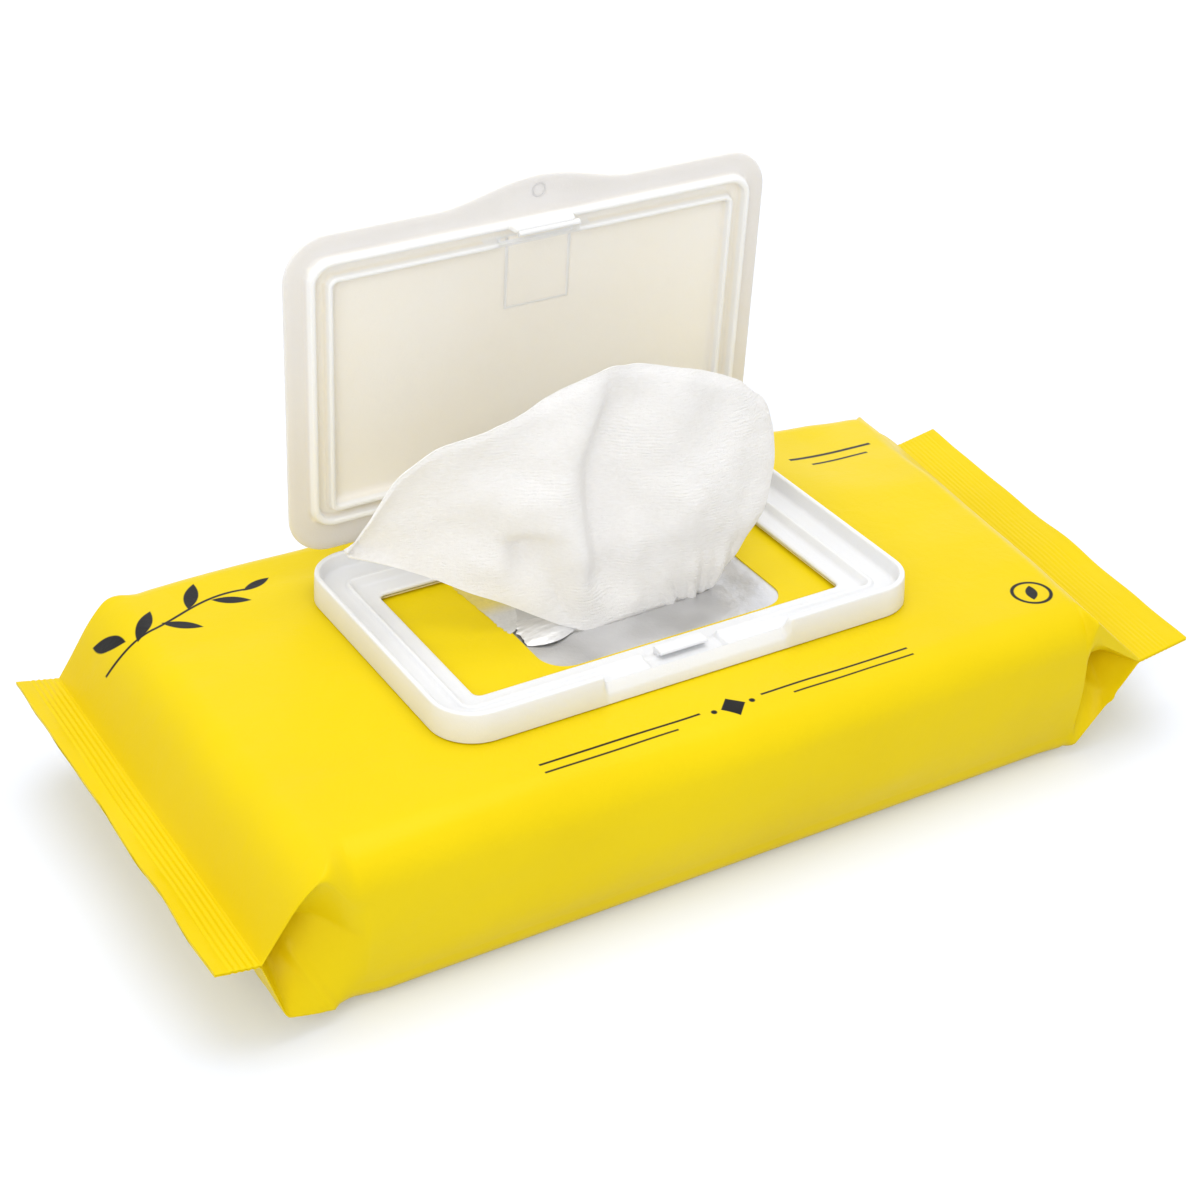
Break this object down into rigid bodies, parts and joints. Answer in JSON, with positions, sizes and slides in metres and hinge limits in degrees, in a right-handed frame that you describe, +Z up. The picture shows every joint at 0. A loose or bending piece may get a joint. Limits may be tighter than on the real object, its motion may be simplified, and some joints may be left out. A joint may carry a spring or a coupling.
{
  "type": "wet wipes pack",
  "caption": "Pillow-shaped film pouch of wet wipes with crimped end fins, a glued-on flip-top frame with an open hinged lid, and one wipe drawn up through the slot",
  "frame": {"origin": "middle of the pouch's footprint on the surface it rests on", "axes": "+X along the pouch, from its square end to its skewed end; +Y towards the lid's hinge; +Z up"},
  "size_m": [0.225, 0.1044, 0.1136],
  "materials": {
    "printed_film": "satin yellow printed film",
    "foil": "satin silver film ply",
    "nonwoven": "white wet nonwoven",
    "adhesive": "clear hot-melt adhesive",
    "moulding": "white moulded polypropylene, semi-gloss"
  },
  "bodies": {
    "pack": {"pouch": "printed_film", "foil_ply": "foil", "wipes_stack": "nonwoven", "pulled_wipe": "nonwoven", "glue_ring": "adhesive", "lid_base": "moulding", "living_hinge": "moulding"},
    "lid": {"lid": "moulding"}
  },
  "joints": [
    {"name": "lid_hinge", "type": "hinge", "parent": "pack", "child": "lid", "pos_m": [-0.0035, 0.0358, 0.0417], "axis": [-1, 0, 0], "range_deg": [-86, 14], "deforming": ["pulled_wipe", "living_hinge"]}
  ]
}
